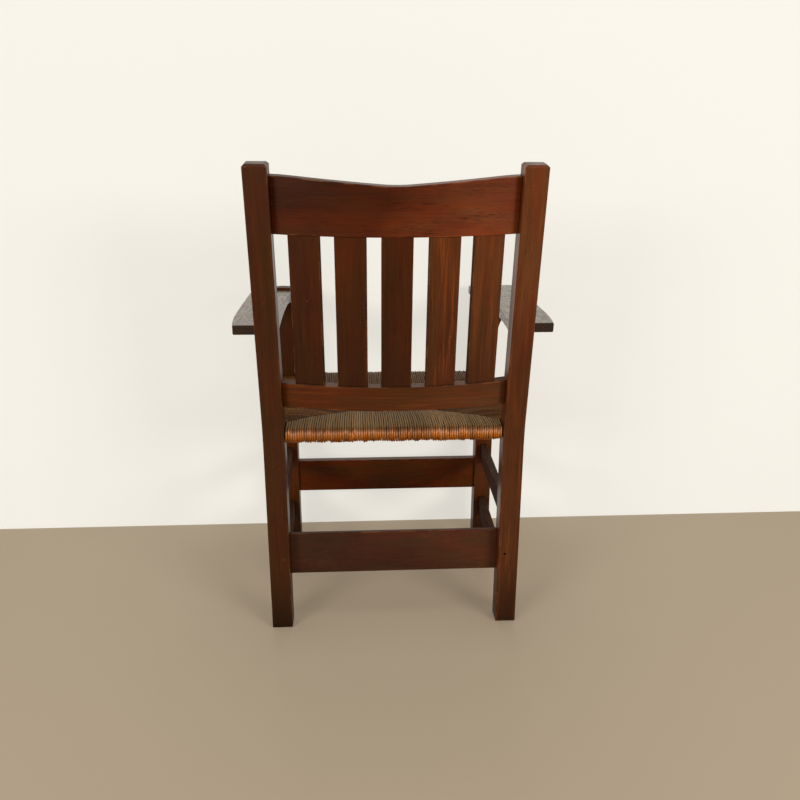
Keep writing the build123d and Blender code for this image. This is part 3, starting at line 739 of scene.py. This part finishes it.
def cord_rings(reach, tint, rubbed, slack):
    """The rings of one cord in its own plane, with what its material reads at each point."""
    outset = random.normal(0, outset_spread_mm) * MM
    out, heights = cord_line(reach, outset, slack)
    steps = np.hypot(np.diff(out), np.diff(heights))
    length = np.concatenate([[0], np.cumsum(steps)])
    places = ring_places(length[-1])
    phase = random.uniform(0, 2 * pi, 5)
    centre_out = np.interp(places, length, out)
    centre_high = np.interp(places, length, heights) + wave(places, *rise_wave, phase[0])
    sway = wave(places, *sway_waves[0], phase[1]) + wave(places, *sway_waves[1], phase[2])
    along_out = np.gradient(centre_out, places)
    along_high = np.gradient(centre_high, places)
    size = np.hypot(along_out, along_high)
    normal_out, normal_high = -along_high / size, along_out / size
    uneven = 1 + random.normal(0, thickness_spread) + wave(places, *thickness_wave, phase[4])
    angle = np.linspace(0, 2 * pi, cord_sides, endpoint=False)[None, :]
    twist = (places / twist_pitch * 2 * pi + phase[3])[:, None]
    radius = cord_radius * uneven[:, None] * (1 + strand_bulge * np.cos(2 * (angle - twist)))
    ring_out = centre_out[:, None] + radius * np.cos(angle) * normal_out[:, None]
    ring_high = centre_high[:, None] + radius * np.cos(angle) * normal_high[:, None]
    ring_side = sway[:, None] + cord_squeeze * radius * np.sin(angle)
    everywhere = np.ones_like(radius)
    fibre = np.stack([
        np.cos(angle - twist) * everywhere,
        np.sin(angle - twist) * everywhere,
        places[:, None] / (fibre_space_mm * MM) * everywhere + tint * fibre_shift,
    ], axis=-1)
    wear, turn = cord_wear_and_shade(ring_out, ring_high, places[:, None] - length[-1] / 2, rubbed)
    marks = {"fibre": fibre, "wear": wear, "turn": turn, "tint": tint * everywhere,
             "cheek": np.abs(np.sin(angle)) * everywhere}
    return ring_out, ring_side, ring_high, marks


class CordBundle:
    """The cords of one side of the seat, gathered as one mesh."""

    def __init__(self):
        self.points, self.faces = [], []
        self.marks = {"fibre": [], "wear": [], "turn": [], "tint": [], "cheek": []}
        self.count = self.cords = 0
        self.slack = self.drift = 0.0

    def add_cord(self, to_place, reach, rubbed, darkness, variety):
        """Adds one cord. Cords hang slack in pairs, since each pass of the winding lays two."""
        if self.cords % 2 == 0:
            self.slack = min(abs(random.normal(0, slack_spread_mm)) * MM, most_slack)
        self.cords += 1
        own_slack = abs(random.normal(0, pair_slack_spread_mm)) * MM
        slack = min(self.slack + own_slack, most_slack)
        own_share = (1 - cord_kinship ** 2) ** 0.5
        self.drift = cord_kinship * self.drift + own_share * random.normal(0, variety)
        tint = float(np.clip(0.5 + self.drift, 0, 1)) - darkness
        out, side, high, marks = cord_rings(reach, tint, rubbed, slack)
        self.points.append(to_place(out, side, high).reshape(-1, 3))
        for label, values in marks.items():
            self.marks[label].append(values.ravel())
        rings = out.shape[0]
        around = np.arange(cord_sides)
        following = (around + 1) % cord_sides
        start = self.count + np.arange(rings - 1)[:, None] * cord_sides
        quads = np.stack([start + around, start + following, start + cord_sides + following,
                          start + cord_sides + around], axis=-1)
        self.faces += quads.reshape(-1, 4).tolist()
        self.faces.append((self.count + around[::-1]).tolist())
        self.faces.append((self.count + (rings - 1) * cord_sides + around).tolist())
        self.count += out.size

    def build(self, name, material, flipped):
        """Makes the piece. Its faces are turned over where its side mirrors the cords' plane."""
        mesh = bpy.data.meshes.new(name)
        faces = [face[::-1] for face in self.faces] if flipped else self.faces
        mesh.from_pydata(np.concatenate(self.points).tolist(), [], faces)
        for label, values in self.marks.items():
            kind, key = ("FLOAT_VECTOR", "vector") if label == "fibre" else ("FLOAT", "value")
            data = np.concatenate(values).astype(np.float32)
            mesh.attributes.new(label, kind, "POINT").data.foreach_set(key, data)
        mesh.polygons.foreach_set("use_smooth", [True] * len(mesh.polygons))
        mesh.materials.append(material)
        mesh.update()
        piece = bpy.data.objects.new(name, mesh)
        bpy.context.scene.collection.objects.link(piece)
        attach(piece, "root")
        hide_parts("rush_seat")


def even_places(low, high):
    """Places for cords side by side between two posts."""
    count = round((high - low) / cord_spacing)
    spacing = (high - low) / count
    return low + spacing * (np.arange(count) + 0.5)


def cross_reach(x, pad_x, rail_y, pad_y):
    """How far a cord over the rear or front rail runs in from the rail's middle to the seam."""
    inside = min(1.0, max(0.0, (pad_x - abs(x)) / (pad_x - middle_x)))
    return abs(pad_y - rail_y) + inside * half_depth


def side_reach(y):
    """How far a cord over a side rail runs in from the rail's middle to the seam."""
    if y > middle_y:
        share = (pad_rear_y - y) / half_depth
        seam_x = pad_rear_x + (middle_x - pad_rear_x) * share
    else:
        share = (y - pad_front_y) / half_depth
        seam_x = pad_front_x + (middle_x - pad_front_x) * share
    return side_rail_x(y) - seam_x


def clear_of_post(from_post):
    """How far a cord is clear of the post: 0 beside it, and 1 from the post's reach on."""
    return float(ease(from_post / post_reach))


def rubbing(from_post, most):
    """How far the top of a cord is rubbed and dirty, less so close to a post."""
    return most * (rubbing_by_post + (1 - rubbing_by_post) * clear_of_post(from_post))


def wind_cross_rail(name, rail_y, pad_x, pad_y, inner_x, toward, darkness, rubbed, material):
    """The cords over the rear or front rail. toward is 1 at the rear and -1 at the front."""
    bundle = CordBundle()
    for x in even_places(-inner_x + rail_end_bare, inner_x - rail_end_bare):
        bundle.add_cord(
            lambda out, side, high: np.stack([x + side, rail_y + toward * out, high], axis=-1),
            cross_reach(x, pad_x, rail_y, pad_y), rubbing(inner_x - abs(x), rubbed),
            darkness + right_painted_light * x, cross_variety)
    bundle.build(name, material, toward > 0)


def wind_side_rail(name, toward, material):
    """The cords over a side rail. toward is 1 at the left and -1 at the right."""
    bundle = CordBundle()
    for y in even_places(post_front_y + rail_end_bare, post_back_y - rail_end_bare):
        from_post = min(y - post_front_y, post_back_y - y)
        bundle.add_cord(
            lambda out, side, high: np.stack([toward * (side_rail_x(y) + out), y + side, high],
                                             axis=-1),
            side_reach(y), rubbing(from_post, side_rubbing),
            side_painted_shade - clean_by_post * (1 - clear_of_post(from_post)), side_variety)
    bundle.build(name, material, toward < 0)


rush = twisted_rush()
wind_cross_rail("rush_rear", rear_rail_y, pad_rear_x, pad_rear_y, back_post_low.x, toward=1,
                darkness=0.02, rubbed=1.0, material=rush)
# The front cords' darkness is painted shade.
wind_cross_rail("rush_front", front_rail_y, pad_front_x, pad_front_y, front_post_low.x, toward=-1,
                darkness=0.34, rubbed=0.5, material=rush)
wind_side_rail("rush_left", toward=1, material=rush)
wind_side_rail("rush_right", toward=-1, material=rush)

# The room: a plain floor, and a plain wall close to the chair's front, as in the photograph.
wall_y = -0.31
room_reach = 6.0
wall_height = 4.0


def room_paint(name, tone, seen_tone, seen_share, clear_behind):
    """Matt paint. To the eye, and in gloss, a share of it is its seen tone, as in a bright room.

    Where it is clear behind, it can be seen through from its back.
    """
    material, tree, output = new_material(name)
    paint = add(tree, "ShaderNodeBsdfPrincipled", {"Base Color": colour(tone), "Roughness": 0.8})
    glow = add(tree, "ShaderNodeEmission", {"Color": colour(seen_tone), "Strength": 1.0})
    rays = add(tree, "ShaderNodeLightPath").outputs
    seen = add(tree, "ShaderNodeMath", [rays["Is Camera Ray"], rays["Is Glossy Ray"]],
               operation="MAXIMUM")
    seen = add(tree, "ShaderNodeMath", [seen, rays["Is Transmission Ray"]], operation="MAXIMUM")
    share = add(tree, "ShaderNodeMath", [seen, seen_share], operation="MULTIPLY")
    surface = add(tree, "ShaderNodeMixShader", [share, paint, glow])
    if clear_behind:
        clear = add(tree, "ShaderNodeBsdfTransparent")
        behind = add(tree, "ShaderNodeNewGeometry").outputs["Backfacing"]
        surface = add(tree, "ShaderNodeMixShader", [behind, surface, clear])
    tree.links.new(surface.outputs[0], output.inputs["Surface"])
    return material


def stage_sheet(name, corners, material):
    """One flat sheet of the room, which isn't part of the chair."""
    mesh = bpy.data.meshes.new(name)
    mesh.from_pydata(corners, [], [(0, 1, 2, 3)])
    mesh.materials.append(material)
    sheet = bpy.data.objects.new(name, mesh)
    bpy.context.scene.collection.objects.link(sheet)
    return sheet


stage_sheet("floor", [(-room_reach, -room_reach, 0), (room_reach, -room_reach, 0),
                      (room_reach, room_reach, 0), (-room_reach, room_reach, 0)],
            room_paint("pale_floor_paint", tone="#bba98f", seen_tone="#b3a187",
                       seen_share=0.25, clear_behind=False))

# The wall shows and takes shadows, but keeps no light from the chair's front.
wall = stage_sheet("wall", [(-room_reach, wall_y, 0), (-room_reach, wall_y, wall_height),
                            (room_reach, wall_y, wall_height), (room_reach, wall_y, 0)],
                   room_paint("white_wall_paint", tone="#fbf7ec", seen_tone="#fffdf4",
                              seen_share=0.6, clear_behind=True))
wall.visible_shadow = False
wall.visible_diffuse = False

chair_middle = Vector((0, 0, 0.45))


def soft_lamp(name, place, wide, tall, power):
    """A soft box aimed at the middle of the chair. Its power is in watts."""
    lamp = bpy.data.lights.new(name, "AREA")
    lamp.shape = "RECTANGLE"
    lamp.size = wide
    lamp.size_y = tall
    lamp.energy = power
    holder = bpy.data.objects.new(name, lamp)
    holder.location = place
    holder.rotation_mode = "QUATERNION"
    holder.rotation_quaternion = (chair_middle - Vector(place)).to_track_quat("-Z", "Y")
    bpy.context.scene.collection.objects.link(holder)


soft_lamp("lamp_left", (2.3, 2.9, 1.4), wide=1.4, tall=0.8, power=49)
soft_lamp("lamp_right", (-2.3, 2.9, 1.4), wide=1.4, tall=0.8, power=60)
soft_lamp("lamp_above", (0, 0.6, 3.0), wide=2.4, tall=1.6, power=14)
soft_lamp("lamp_front", (0, -3.4, 1.7), wide=2.4, tall=1.6, power=34)

# The room's own light is a slightly warm white, given as a linear colour. It is dimmer behind the
# camera, on the side of the back's lamps, and falls from full to dim between these directions.
room_light = (1.0, 0.975, 0.935, 1.0)
dimming_start, dimming_end = -0.3, 0.5
full_strength, dim_strength = 0.5, 0.16

world = bpy.data.worlds.new("room_light")
bpy.context.scene.world = world
world.use_nodes = True
world_tree = world.node_tree
world_tree.nodes.clear()
direction = add(world_tree, "ShaderNodeTexCoord").outputs["Generated"]
rearward = add(world_tree, "ShaderNodeSeparateXYZ", [direction]).outputs["Y"]
dimming = add(world_tree, "ShaderNodeMapRange",
              [rearward, dimming_start, dimming_end, full_strength, dim_strength])
sky = add(world_tree, "ShaderNodeBackground", {"Color": room_light, "Strength": dimming})
add(world_tree, "ShaderNodeOutputWorld", {"Surface": sky})

camera = bpy.data.cameras.new("camera")
camera.lens = camera_lens_mm
forward = Vector((-sin(camera_yaw) * cos(camera_pitch), -cos(camera_yaw) * cos(camera_pitch),
                  -sin(camera_pitch)))
level = forward.to_track_quat("-Z", "Y")
camera_holder = bpy.data.objects.new("camera", camera)
camera_holder.location = camera_place
camera_holder.rotation_mode = "QUATERNION"
camera_holder.rotation_quaternion = level @ Quaternion((0, 0, 1), camera_roll)
bpy.context.scene.collection.objects.link(camera_holder)
bpy.context.scene.camera = camera_holder

bpy.context.scene.view_settings.view_transform = "Standard"
